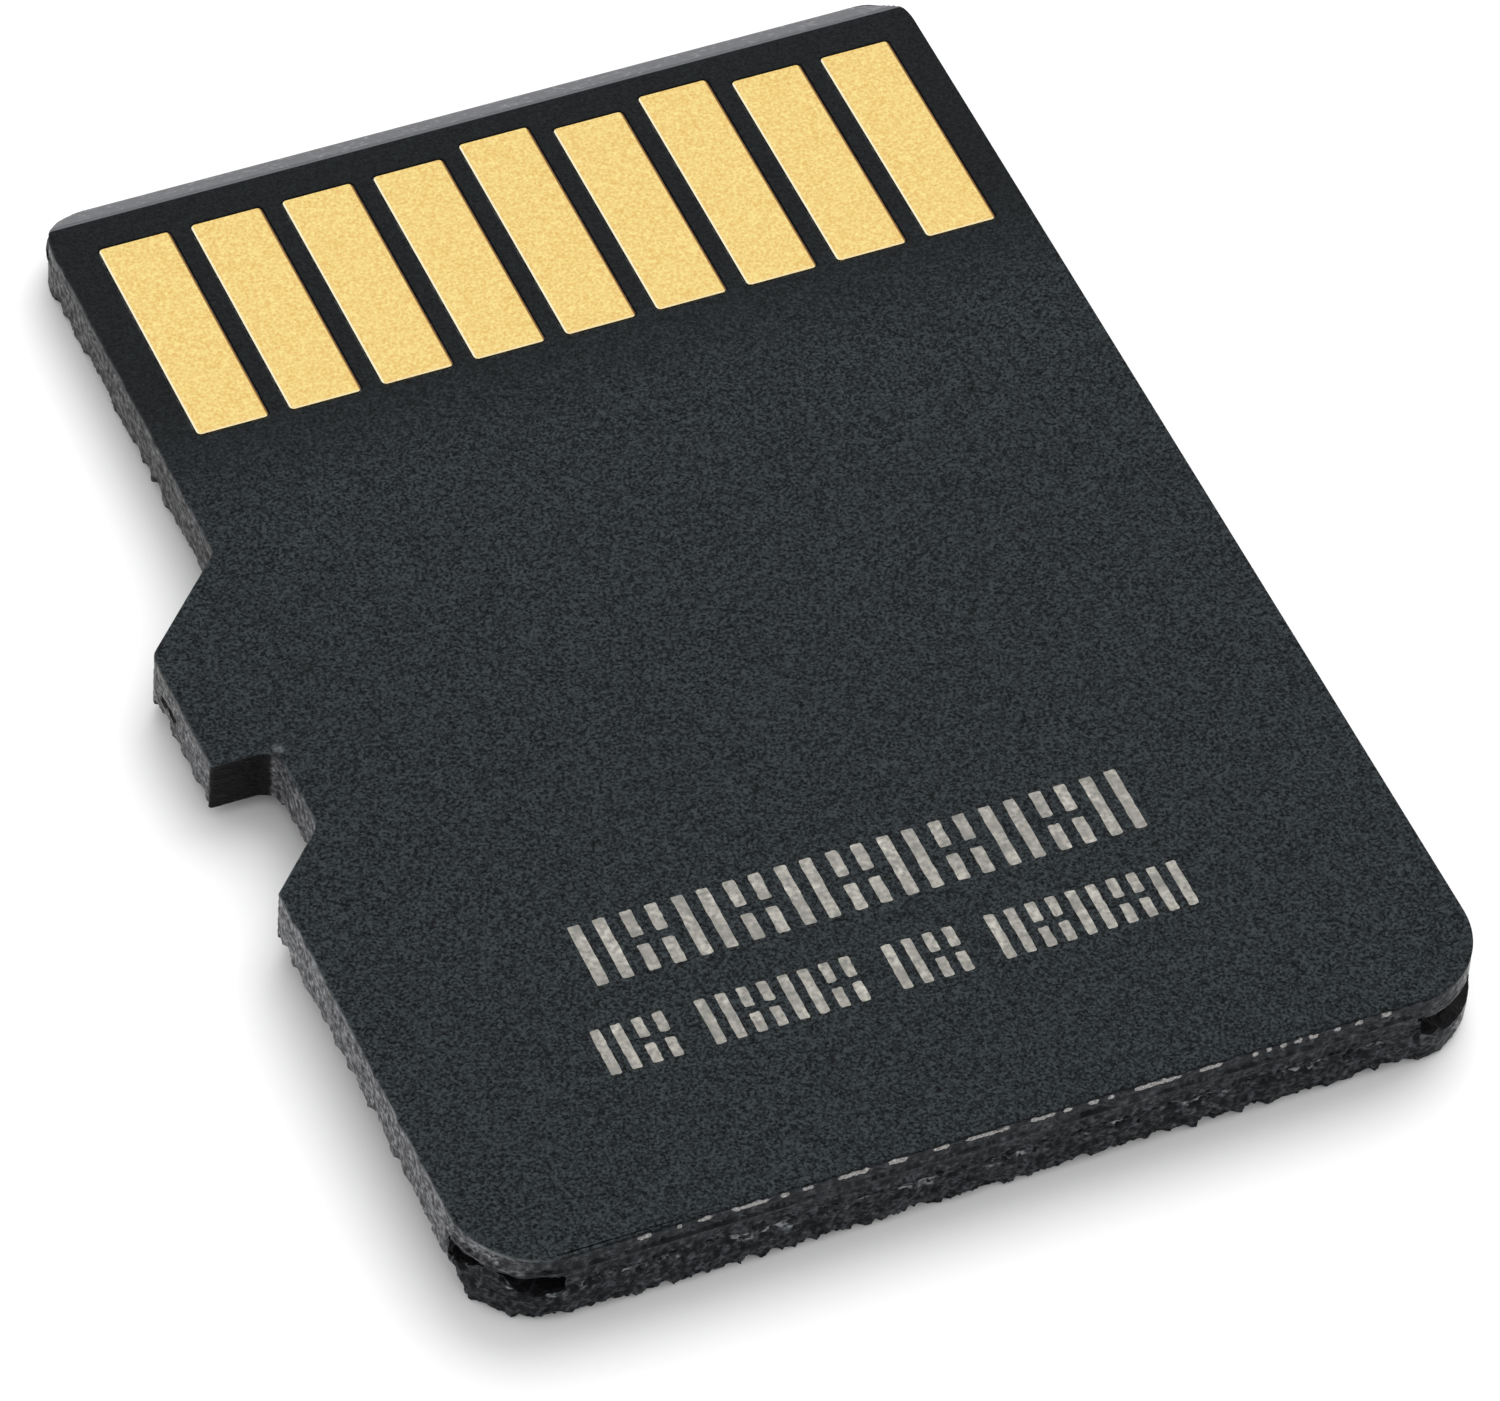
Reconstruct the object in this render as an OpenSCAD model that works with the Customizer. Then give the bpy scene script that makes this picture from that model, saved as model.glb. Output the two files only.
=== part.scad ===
// Micro memory card, contact side up, in millimetres.
// The origin is the middle of the bounding box's base. +Y points to the contact end,
// -Y to the grip ridge, and the notched long side is at -X.

/* [Card body] */
// Length from the contact edge to the grip edge
card_l = 15; // [14.5:0.1:16]
// Width over the lug and the rear half
card_w = 11; // [10.8:0.1:12]
// Thickness away from the grip ridge
body_t = 0.65; // [0.65:0.05:1]
// How far the grip ridge stands out below the label face
ridge_h = 0.3; // [0.2:0.05:0.5]
// Length of the grip ridge at the middle of the card
ridge_l = 1.74; // [1.2:0.1:2]
// Radius of the arc along the front of the grip ridge
ridge_arc_r = 30; // [20:1:60]
// How far the ridge's front wall leans forward over its height
ridge_lean = 0.12; // [0.05:0.01:0.2]

/* [Outline] */
// Step from the full width in to the narrow contact end
side_step = 1.1; // [1:0.05:1.4]
// Contact edge to the lug's shoulder
lug_start = 6.3; // [6.2:0.05:6.6]
// Contact edge to the locking notch
notch_start = 7.9; // [7.8:0.05:8.2]
// Length of the locking notch at its floor
notch_l = 1.1; // [0.9:0.05:1.3]
// Depth of the locking notch
notch_d = 0.7; // [0.5:0.05:0.8]
// Corner radius at the contact end on the notched side
front_left_r = 0.6; // [0.4:0.05:1]
// Corner radius at the contact end on the plain side
front_right_r = 0.4; // [0.2:0.05:0.8]
// Corner radius of the laminate at the grip end
rear_r = 0.95; // [0.8:0.05:1.2]
// Corner radius of the moulded lip at the grip end
lip_r = 0.85; // [0.3:0.05:1]
// Radius of the outline's small corners
small_r = 0.2; // [0.1:0.05:0.3]
// Radius left on the notch's outer corners by the cut
crisp_r = 0.04; // [0.02:0.01:0.1]

/* [Edges] */
// Length of the bevel along the contact edge
bevel_l = 0.38; // [0.2:0.02:0.5]
// Depth of the bevel at the contact edge
bevel_d = 0.22; // [0.1:0.02:0.3]
// Chamfer on the label side of the contact edge
label_chamfer = 0.1; // [0.05:0.01:0.2]
// Height of the saw-torn band along the label side
torn_h = 0.2; // [0.1:0.02:0.3]
// Pitch of the torn band's teeth
torn_pitch = 0.26; // [0.2:0.02:0.5]
// Width of a tooth's mouth
torn_w = 0.1; // [0.06:0.02:0.16]
// Depth of the torn band's teeth
torn_d = 0.045; // [0.02:0.005:0.07]
// Length of the open pocket under the laminate at each grip corner
pocket_l = 1.1; // [0.8:0.05:1.3]
// Depth of that pocket in from the corner
pocket_d = 0.75; // [0.65:0.05:0.9]
// Height of that pocket
pocket_h = 0.28; // [0.1:0.02:0.3]
// Thickness of the moulding between that pocket and the laminate
pocket_roof = 0.06; // [0.04:0.01:0.08]

/* [Laminate] */
// Thickness of the solder mask on the contact side
outer_mask_t = 0.03; // [0.02:0.005:0.04]
// Thickness of the laminate core
core_t = 0.2; // [0.15:0.01:0.24]
// Thickness of the solder mask inside the card
inner_mask_t = 0.03; // [0.03:0.005:0.05]
// Thickness of the copper traces
trace_t = 0.02; // [0.012:0.002:0.024]
// Width of the copper traces
trace_w = 0.06; // [0.05:0.01:0.07]
// Straight run of a trace before it turns towards its other end
trace_run = 0.1; // [0.08:0.01:0.14]
// Strip of bare laminate along the grip edge
mask_setback = 0.05; // [0.03:0.01:0.1]

/* [Contacts] */
// Number of contacts
pad_count = 9; // [8:1:9]
// Width of a contact
pad_w = 0.79; // [0.6:0.01:0.84]
// Distance from one contact to the next
pad_pitch = 1.03; // [0.95:0.01:1.05]
// Right-hand side of the card to the nearest contact
pad_side = 0.41; // [0.3:0.01:0.6]
// Contact edge to the near end of a signal contact
pad_front = 0.8; // [0.7:0.01:1]
// How much nearer the two supply contacts come
supply_lead = 0.13; // [0.05:0.01:0.2]
// Contact edge to the far end of every contact
pad_rear = 3.62; // [3.3:0.01:3.8]
// Corner radius of a contact
pad_r = 0.05; // [0.02:0.01:0.1]
// Gap between a contact and the mask around it
pad_gap = 0.02; // [0.01:0.005:0.03]
// How far a contact lies below the mask's face
pad_drop = 0.004; // [0.002:0.001:0.01]
// Places of the supply contacts, counted from the notched side
supply_pads = [5, 7];
// Radius of the plated vias
via_r = 0.06; // [0.04:0.01:0.1]
// Radius of the copper land around a via
via_land_r = 0.12; // [0.11:0.01:0.14]
// Far end of the contacts to the vias
via_inset = 0.3; // [0.2:0.05:0.5]

/* [Chips] */
// Width of a memory die
flash_w = 8.6; // [7:0.1:9]
// Length of a memory die
flash_l = 6.2; // [5:0.1:6.4]
// Thickness of a memory die
flash_t = 0.08; // [0.06:0.01:0.1]
// How far the second memory die is set back to bare the first die's pads
flash_ledge = 0.35; // [0.33:0.01:0.45]
// Grip edge to the second memory die
flash_rear = 0.7; // [0.5:0.05:0.8]
// Plain side of the card to the memory dies
flash_side = 0.9; // [0.7:0.05:1]
// Width of the controller die
control_w = 3.8; // [3.7:0.1:4]
// Length of the controller die
control_l = 1.7; // [1.5:0.1:1.8]
// Thickness of the controller die
control_t = 0.12; // [0.1:0.01:0.15]
// Contact edge to the controller die
control_front = 4.65; // [4.6:0.05:4.8]
// Thickness of the film that bonds each die
film_t = 0.02; // [0.015:0.005:0.025]

/* [Bond wires] */
// Diameter of a bond wire
wire_d = 0.03; // [0.024:0.002:0.036]
// Reach of a wire from a die to its finger
wire_reach = 0.3; // [0.26:0.02:0.3]
// Reach of a wire from one memory die to the next
stack_reach = 0.2; // [0.18:0.01:0.22]
// Wires' place in from the edge of their die
wire_inset = 0.1; // [0.08:0.01:0.12]
// Height of the ball at a wire's first end
ball_h = 0.015; // [0.01:0.005:0.02]
// Radius of the ball at a wire's first end
ball_r = 0.035; // [0.03:0.005:0.045]
// Number of wires in each memory row
channel_count = 12; // [8:1:12]
// Distance between wires along the memory dies
channel_pitch = 0.6; // [0.4:0.05:0.65]
// Distance between memory wires along the controller
control_pitch = 0.28; // [0.24:0.01:0.3]
// Distance between contact wires along the controller
contact_pitch = 0.4; // [0.36:0.01:0.42]
// Width of a bond finger
finger_w = 0.14; // [0.1:0.01:0.18]
// Length of a bond finger
finger_l = 0.24; // [0.2:0.01:0.28]

/* [Chip capacitors and resistors] */
// Length of a chip over its end caps
chip_l = 0.6; // [0.5:0.02:0.7]
// Width of a chip
chip_w = 0.3; // [0.2:0.02:0.34]
// Height of a capacitor
capacitor_h = 0.26; // [0.15:0.01:0.3]
// Height of a resistor
resistor_h = 0.2; // [0.15:0.01:0.3]
// Length of an end cap
cap_end_l = 0.14; // [0.1:0.01:0.18]
// Thickness of the solder under a chip
solder_t = 0.015; // [0.01:0.005:0.02]
// How far a solder land reaches past the chip
land_reach = 0.07; // [0.05:0.01:0.1]
// How far a solder land reaches past each side of the chip
land_side = 0.02; // [0.01:0.005:0.04]
// Height of the solder fillet on a chip's end
fillet_h = 0.1; // [0.05:0.01:0.12]
// Middle of the card to the capacitor columns
capacitor_x = 3.1; // [2.8:0.05:3.2]
// Middle of the card to the resistor column
resistor_x = 4.4; // [4.2:0.05:4.6]
// Number of chips in a column
chip_rows = 3; // [1:1:3]
// Distance between the chips of a column
chip_pitch = 0.6; // [0.5:0.05:0.65]

/* [Hidden] */
$fn = 32;
arc_steps = 8;
ridge_facets = 360;
past = 1;
sides = [-1, 1];

right = card_w / 2;
left = -card_w / 2;
front = card_l / 2;
rear = -card_l / 2;
narrow = left + side_step;
lug_y = front - lug_start;
notch_y = front - notch_start;

label_z = ridge_h;
face_z = label_z + body_t;
core_top = face_z - outer_mask_t;
core_base = core_top - core_t;
inner_z = core_base - inner_mask_t;
pocket_top = inner_z - pocket_roof;

pad_x0 = right - pad_side - pad_w - (pad_count - 1) * pad_pitch;
via_y = front - pad_rear + via_inset;
pad_top = face_z - pad_drop;

// Trace ends at the grip edge: distance from the notched side, and width
trace_ends = [
    [1.69, 0.16], [2.06, 0.06], [2.33, 0.16], [2.81, 0.43], [3.18, 0.1], [3.42, 0.13],
    [3.92, 0.39], [4.38, 0.23], [4.85, 0.18], [5.36, 0.51], [5.94, 0.28], [6.21, 0.1],
    [6.49, 0.12], [6.68, 0.08], [7.18, 0.55], [7.76, 0.28], [8.25, 0.07], [8.4, 0.07],
    [8.56, 0.08], [8.72, 0.1], [8.89, 0.11], [9.15, 0.08], [9.39, 0.11], [9.69, 0.13]];
trace_end_l = 0.5;

flash_x = right - flash_side - flash_w / 2;
flash_y = [rear + flash_rear + flash_ledge, rear + flash_rear];
flash_top = [inner_z - film_t, inner_z - 2 * film_t - flash_t];
flash_base = [for (z = flash_top) z - flash_t];
flash_finger_y = flash_y[0] + flash_l - wire_inset + wire_reach;

control_y = front - control_front - control_l;
control_top = inner_z - film_t;
control_base = control_top - control_t;
contact_finger_y = control_y + control_l - wire_inset + wire_reach;
channel_finger_y = control_y + wire_inset - wire_reach;

chip_y0 = control_y + control_l / 2 - (chip_rows - 1) * chip_pitch / 2;
chip_top = inner_z - solder_t;
land_l = cap_end_l + land_reach;
land_w = chip_w + 2 * land_side;

// Outline helpers

function unit(v) = v / norm(v);
function short_turn(a) = a > 180 ? a - 360 : a < -180 ? a + 360 : a;
function bearing(v) = atan2(v[1], v[0]);

// Points of the arc that rounds the corner b, between a and c, to radius r
function corner_arc(a, b, c, r) =
    let (
        u = unit(a - b),
        w = unit(c - b),
        half = acos(u * w) / 2,
        centre = b + unit(u + w) * r / sin(half),
        from = bearing(b + u * r / tan(half) - centre),
        turn = short_turn(bearing(b + w * r / tan(half) - centre) - from)
    )
    [for (i = [0:arc_steps]) centre + r * [cos(from + turn * i / arc_steps), sin(from + turn * i / arc_steps)]];

// Corners of the card, counter-clockwise, each with its radius
function corners(r) = [
    [right, rear, r],
    [right, front, front_right_r],
    [narrow, front, front_left_r],
    [narrow, lug_y + side_step, small_r],
    [left, lug_y, small_r],
    [left, notch_y, crisp_r],
    [left + notch_d, notch_y, small_r],
    [left + notch_d, notch_y - notch_l, small_r],
    [left, notch_y - notch_l - notch_d, crisp_r],
    [left, rear, r]];

function at(list, i) = list[(i + len(list)) % len(list)];
function place(corner) = [corner[0], corner[1]];
function arcs(r) =
    let (c = corners(r))
    [for (i = [0:len(c) - 1]) corner_arc(place(at(c, i - 1)), place(c[i]), place(at(c, i + 1)), c[i][2])];

// A smooth outline joins the arcs as they are
function smooth_outline(r) = [for (arc = arcs(r)) each arc];

// Teeth along one straight edge, left by the saw, which never stand outside the edge
function teeth(a, b) =
    let (
        count = floor(norm(b - a) / torn_pitch),
        step = (b - a) / count,
        along = step / norm(step),
        inward = [-along[1], along[0]]
    )
    count < 2 ? [] : [for (k = [1:count - 1]) each [
        a + step * k - along * torn_w / 2,
        a + step * k + inward * torn_d,
        a + step * k + along * torn_w / 2]];

// A torn outline has teeth on every straight edge but the contact edge and the notch's front wall
function torn_outline(r) =
    let (a = arcs(r))
    [for (i = [0:len(a) - 1]) each concat(
        a[i],
        i == 1 || i == 5 ? [] : teeth(a[i][arc_steps], at(a, i + 1)[0]))];

module smooth_slab(low, high) {
    translate([0, 0, low])
        linear_extrude(high - low)
            polygon(smooth_outline(rear_r));
}

module torn_slab(low, high) {
    translate([0, 0, low])
        linear_extrude(high - low)
            polygon(torn_outline(lip_r));
}

// A prism across the card's width, from its outline in Y and Z
module across(outline) {
    translate([left - past, 0, 0])
        rotate([90, 0, 90])
            linear_extrude(card_w + 2 * past)
                polygon(outline);
}

module front_bevel() {
    slope = bevel_d / bevel_l;
    across([
        [front - bevel_l, face_z],
        [front + past, face_z - slope * (bevel_l + past)],
        [front + past, face_z + past],
        [front - bevel_l, face_z + past]]);
}

module front_chamfer() {
    across([
        [front - label_chamfer, label_z],
        [front - label_chamfer - past, label_z - past],
        [front + past, label_z - past],
        [front + past, label_z + label_chamfer + past]]);
}

// Contact side

function pad_x(i) = pad_x0 + (i - 1) * pad_pitch;
function pad_lead(i) = len(search(i, supply_pads)) > 0 ? supply_lead : 0;

module pad_shape(i, grow) {
    x = pad_x(i) - grow;
    y = front - pad_rear - grow;
    w = pad_w + 2 * grow;
    l = pad_rear - pad_front + pad_lead(i) + 2 * grow;
    r = pad_r + grow;
    box = [[x, y], [x + w, y], [x + w, y + l], [x, y + l]];
    polygon([for (k = [0:3]) each corner_arc(at(box, k - 1), box[k], at(box, k + 1), r)]);
}

module contact_pad(i) {
    if (i <= pad_count)
        color("#f0c778")
            translate([0, 0, core_top])
                linear_extrude(pad_top - core_top)
                    pad_shape(i, 0);
}

module plating_trace_ends() {
    color("#c9c3b4")
        for (end = trace_ends)
            translate([left + end[0] - end[1] / 2, rear, core_top])
                cube([end[1], trace_end_l, trace_t]);
}

module outer_solder_mask() {
    color("#2a3033")
        difference() {
            smooth_slab(core_top, face_z);
            translate([left - past, rear - past, core_top - past])
                cube([card_w + 2 * past, past + mask_setback, 3 * past]);
            for (i = [1:pad_count])
                translate([0, 0, core_top - past])
                    linear_extrude(3 * past)
                        pad_shape(i, pad_gap);
            plating_trace_ends();
            front_bevel();
        }
}

module plated_vias() {
    color("#b87333")
        for (i = [1:pad_count])
            translate([pad_x(i) + pad_w / 2, via_y, core_base])
                cylinder(r = via_r, h = core_t);
}

module laminate_core() {
    color("#3a3f40")
        difference() {
            smooth_slab(core_base, core_top);
            plated_vias();
            front_bevel();
        }
}

// Etched copper inside the card

function row_x(i, count, pitch, middle) = middle + (i - (count - 1) / 2) * pitch;

module finger(x, y) {
    translate([x - finger_w / 2, y - finger_l / 2, inner_z])
        cube([finger_w, finger_l, inner_mask_t]);
}

module trace(a, b) {
    translate([a[0], a[1], core_base - trace_t])
        rotate(bearing(b - a))
            translate([0, -trace_w / 2, 0])
                cube([norm(b - a), trace_w, trace_t]);
}

// The end of the straight run that leaves a finger towards +Y (dir 1) or -Y (dir -1)
function run_end(tip, dir) = tip + [0, dir * (finger_l / 2 + trace_run)];

module contact_traces() {
    color("#b87333")
        for (i = [1:pad_count]) {
            land = [pad_x(i) + pad_w / 2, via_y];
            tip = [row_x(i - 1, pad_count, contact_pitch, 0), contact_finger_y];
            translate([land[0], land[1], core_base - trace_t])
                cylinder(r = via_land_r, h = trace_t);
            trace(land, run_end(tip, 1));
            trace(run_end(tip, 1), tip);
            finger(tip[0], tip[1]);
        }
}

module channel_traces() {
    color("#b87333")
        for (i = [0:channel_count - 1]) {
            from = [row_x(i, channel_count, channel_pitch, flash_x), flash_finger_y];
            tip = [row_x(i, channel_count, control_pitch, 0), channel_finger_y];
            trace(from, run_end(from, 1));
            trace(run_end(from, 1), run_end(tip, -1));
            trace(run_end(tip, -1), tip);
            finger(from[0], from[1]);
            finger(tip[0], tip[1]);
        }
}

// Places of the small chips
function capacitor_places() =
    [for (s = sides) for (k = [0:chip_rows - 1]) [s * capacitor_x, chip_y0 + k * chip_pitch]];
function resistor_places() = [for (k = [0:chip_rows - 1]) [resistor_x, chip_y0 + k * chip_pitch]];
function chip_places() = concat(capacitor_places(), resistor_places());

// Both ends of the chip at p: the child is drawn with its tip at +X
module at_ends(p) {
    translate([p[0], p[1], 0]) {
        children();
        mirror([1, 0, 0])
            children();
    }
}

module chip_lands() {
    color("#b87333")
        for (p = chip_places())
            at_ends(p)
                translate([chip_l / 2 - cap_end_l, -land_w / 2, inner_z])
                    cube([land_l, land_w, inner_mask_t]);
}

module inner_solder_mask() {
    color("#2f4a3a")
        difference() {
            smooth_slab(inner_z, core_base);
            contact_traces();
            channel_traces();
            chip_lands();
        }
}

// Chips

module slab(x, y, w, l, top, t) {
    translate([x - w / 2, y, top - t])
        cube([w, l, t]);
}

module flash_die(n) {
    color("#6d7076")
        slab(flash_x, flash_y[n], flash_w, flash_l, flash_top[n], flash_t);
}

// The second film covers only the stretch where the two dies overlap
module flash_film(n) {
    color("#d9b46a")
        slab(flash_x, flash_y[0], flash_w, flash_l - n * flash_ledge, flash_top[n] + film_t, film_t);
}

module controller_die() {
    color("#5d6168")
        slab(0, control_y, control_w, control_l, control_top, control_t);
}

module controller_film() {
    color("#d9b46a")
        slab(0, control_y, control_w, control_l, inner_z, film_t);
}

module chip_body(h) {
    translate([-chip_l / 2 + cap_end_l, -chip_w / 2, chip_top - h])
        cube([chip_l - 2 * cap_end_l, chip_w, h]);
}

module end_cap(h) {
    translate([chip_l / 2 - cap_end_l, -chip_w / 2, chip_top - h])
        cube([cap_end_l, chip_w, h]);
}

module capacitor_bodies() {
    color("#9c7b52")
        for (p = capacitor_places())
            translate([p[0], p[1], 0])
                chip_body(capacitor_h);
}

module capacitor_end_caps() {
    color("#c8c9cb")
        for (p = capacitor_places())
            at_ends(p)
                end_cap(capacitor_h);
}

module resistor_bodies() {
    color("#26282b")
        for (p = resistor_places())
            translate([p[0], p[1], 0])
                chip_body(resistor_h);
}

module resistor_end_caps() {
    color("#c8c9cb")
        for (p = resistor_places())
            at_ends(p)
                end_cap(resistor_h);
}

// A layer under the end cap, which climbs the chip's end as a fillet
module solder_joints() {
    color("#b9bbc0")
        for (p = chip_places())
            at_ends(p)
                translate([0, land_w / 2, inner_z])
                    rotate([90, 0, 0])
                        linear_extrude(land_w)
                            polygon([
                                [chip_l / 2 - cap_end_l, 0],
                                [chip_l / 2 - cap_end_l, -solder_t],
                                [chip_l / 2, -solder_t],
                                [chip_l / 2, -solder_t - fillet_h],
                                [chip_l / 2 + land_reach, 0]]);
}

// Bond wires

// One wire: a ball on the die, half a ring, and a straight leg up to where it lands.
// dir is 1 for a wire that runs towards +Y, and -1 for one that runs towards -Y.
module bond_wire(x, y, die_z, land_z, reach, dir) {
    ring_r = reach / 2;
    ring_z = die_z - ball_h;
    translate([x, y, ring_z])
        cylinder(r = ball_r, h = ball_h);
    translate([x, y + dir * ring_r, ring_z])
        rotate([0, 90, 0])
            rotate([0, 0, -90])
                rotate_extrude(angle = 180)
                    translate([ring_r, 0])
                        circle(d = wire_d);
    translate([x, y + dir * reach, ring_z])
        cylinder(d = wire_d, h = land_z - ring_z);
}

module contact_bond_wires() {
    color("#e0b050")
        for (i = [0:pad_count - 1])
            bond_wire(row_x(i, pad_count, contact_pitch, 0), control_y + control_l - wire_inset,
                control_base, inner_z, wire_reach, 1);
}

module channel_bond_wires() {
    color("#e0b050")
        for (i = [0:channel_count - 1])
            bond_wire(row_x(i, channel_count, control_pitch, 0), control_y + wire_inset,
                control_base, inner_z, wire_reach, -1);
}

module flash_bond_wires() {
    color("#e0b050")
        for (i = [0:channel_count - 1])
            bond_wire(row_x(i, channel_count, channel_pitch, flash_x), flash_y[0] + flash_l - wire_inset,
                flash_base[0], inner_z, wire_reach, 1);
}

module stack_bond_wires() {
    color("#e0b050")
        for (i = [0:channel_count - 1])
            bond_wire(row_x(i, channel_count, channel_pitch, flash_x), flash_y[1] + flash_l - wire_inset,
                flash_base[1], flash_base[0], stack_reach, 1);
}

// Moulded body

// The ridge ends at a shallow arc, and its front wall leans forward up to the label face
module ridge() {
    intersection() {
        torn_slab(0, label_z + torn_h);
        translate([0, rear + ridge_l - ridge_arc_r, 0])
            cylinder(r1 = ridge_arc_r, r2 = ridge_arc_r + ridge_lean, h = label_z, $fn = ridge_facets);
    }
}

// Open pocket between the laminate and the lip at each grip corner
module corner_pockets() {
    for (s = sides)
        translate([s * right, rear, pocket_top - pocket_h])
            rotate(s * 45)
                translate([-pocket_l / 2, -past, 0])
                    cube([pocket_l, past + pocket_d, pocket_h]);
}

module potted_parts() {
    for (n = [0:1]) {
        flash_die(n);
        flash_film(n);
    }
    controller_die();
    controller_film();
    contact_bond_wires();
    channel_bond_wires();
    flash_bond_wires();
    stack_bond_wires();
    capacitor_bodies();
    capacitor_end_caps();
    resistor_bodies();
    resistor_end_caps();
    solder_joints();
}

module moulded_body() {
    color("#24282b")
        difference() {
            union() {
                smooth_slab(label_z + torn_h, inner_z);
                torn_slab(label_z, label_z + torn_h);
                ridge();
            }
            front_chamfer();
            corner_pockets();
            potted_parts();
        }
}

moulded_body();
laminate_core();
outer_solder_mask();
inner_solder_mask();
contact_pad(1);  // contact_pad_1
contact_pad(2);  // contact_pad_2
contact_pad(3);  // contact_pad_3
contact_pad(4);  // contact_pad_4
contact_pad(5);  // contact_pad_5
contact_pad(6);  // contact_pad_6
contact_pad(7);  // contact_pad_7
contact_pad(8);  // contact_pad_8
contact_pad(9);  // contact_pad_9
plating_trace_ends();
plated_vias();
contact_traces();
channel_traces();
chip_lands();
flash_die(0);  // flash_die_1
flash_die(1);  // flash_die_2
flash_film(0);  // flash_film_1
flash_film(1);  // flash_film_2
controller_die();
controller_film();
contact_bond_wires();
channel_bond_wires();
flash_bond_wires();
stack_bond_wires();
capacitor_bodies();
capacitor_end_caps();
resistor_bodies();
resistor_end_caps();
solder_joints();
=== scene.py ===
import math
import bpy
import numpy as np
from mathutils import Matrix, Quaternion, Vector
from mathutils.geometry import tessellate_polygon


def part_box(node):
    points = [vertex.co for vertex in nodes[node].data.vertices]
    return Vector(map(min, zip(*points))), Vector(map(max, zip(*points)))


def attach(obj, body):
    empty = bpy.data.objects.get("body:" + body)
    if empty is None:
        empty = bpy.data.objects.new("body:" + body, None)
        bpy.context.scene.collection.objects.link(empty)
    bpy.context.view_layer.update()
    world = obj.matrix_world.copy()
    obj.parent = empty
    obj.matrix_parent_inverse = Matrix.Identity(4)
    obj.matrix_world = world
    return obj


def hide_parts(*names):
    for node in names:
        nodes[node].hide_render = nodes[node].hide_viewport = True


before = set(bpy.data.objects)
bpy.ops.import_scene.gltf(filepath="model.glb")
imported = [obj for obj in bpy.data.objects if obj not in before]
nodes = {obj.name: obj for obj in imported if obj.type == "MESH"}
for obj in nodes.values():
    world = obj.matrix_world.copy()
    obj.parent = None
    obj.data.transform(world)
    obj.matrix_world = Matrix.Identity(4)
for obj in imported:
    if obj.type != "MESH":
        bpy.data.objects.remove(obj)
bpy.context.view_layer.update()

# Laminate board
# The stiff glass-resin board that carries the contacts. It is pressed in large
# panels and sawn to the card's outline, so its cut edge shows fine streaks.
MM = 0.001
X_AXIS, Y_AXIS, Z_AXIS = 0.0, 1.0, 2.0
LEFT, RIGHT, REAR, FRONT = -5.5, 5.5, -7.5, 7.5
NARROW_X, NOTCH_X, NOTCH_Y = -4.4, -4.8, -0.4
LABEL_Z, MOULD_TOP, BOARD_LOW, BOARD_TOP, FACE_Z = 0.3, 0.69, 0.72, 0.92, 0.95
BEVEL_LENGTH, BEVEL_SLOPE = 0.38, 0.22 / 0.38
BOARD_RADIUS = 0.95
CONTACT_EDGE, LUG_EDGE, NOTCH_WALL, GRIP_EDGE = 1, 4, 5, 9
RIDGE_LENGTH, RIDGE_RADIUS = 1.74, 30.0
BITE_PITCH, BITE_HEIGHT, BITE_DEPTH = 0.29, 0.15, 0.07


def new_group(name, inputs, outputs):
    """A shader node group with float inputs (name, value) and outputs (name, socket type)."""
    tree = bpy.data.node_groups.new(name, "ShaderNodeTree")
    for socket, value in inputs:
        item = tree.interface.new_socket(socket, in_out="INPUT", socket_type="NodeSocketFloat")
        item.default_value = value
    for socket, kind in outputs:
        tree.interface.new_socket(socket, in_out="OUTPUT", socket_type=kind)
    return tree, tree.nodes.new("NodeGroupInput"), tree.nodes.new("NodeGroupOutput")


def add(tree, kind, links=None, **settings):
    """A node of this kind with its settings, and each named or numbered socket set or linked."""
    node = tree.nodes.new(kind)
    for key, value in settings.items():
        setattr(node, key, value)
    for socket, value in (links or {}).items():
        if isinstance(value, bpy.types.NodeSocket):
            tree.links.new(value, node.inputs[socket])
        else:
            node.inputs[socket].default_value = value
    return node


def object_place(tree):
    return add(tree, "ShaderNodeTexCoord").outputs["Object"]


def grain_group():
    """Fine grain: two octaves of noise on Object coordinates, stretched round a half."""
    tree, given, out = new_group(
        "fine_grain",
        [("Period", 0.08 * MM), ("Contrast", 1.0), ("Along", 1.0)],
        [("Grain", "NodeSocketFloat")])
    along = given.outputs["Along"]
    stretch = add(tree, "ShaderNodeCombineXYZ", {"X": along, "Y": along, "Z": 1.0})
    place = add(tree, "ShaderNodeVectorMath", {
        0: object_place(tree), 1: stretch.outputs[0]}, operation="MULTIPLY")
    rate = add(tree, "ShaderNodeMath", {0: 1.0, 1: given.outputs["Period"]}, operation="DIVIDE")
    noise = add(tree, "ShaderNodeTexNoise", {
        "Vector": place.outputs[0], "Scale": rate.outputs[0], "Detail": 1.5, "Roughness": 0.6})
    centred = add(tree, "ShaderNodeMath", {0: noise.outputs[0], 1: 0.5}, operation="SUBTRACT")
    spread = add(tree, "ShaderNodeMath", {
        0: centred.outputs[0], 1: given.outputs["Contrast"], 2: 0.5},
        operation="MULTIPLY_ADD", use_clamp=True)
    tree.links.new(spread.outputs[0], out.inputs["Grain"])
    return tree


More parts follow.
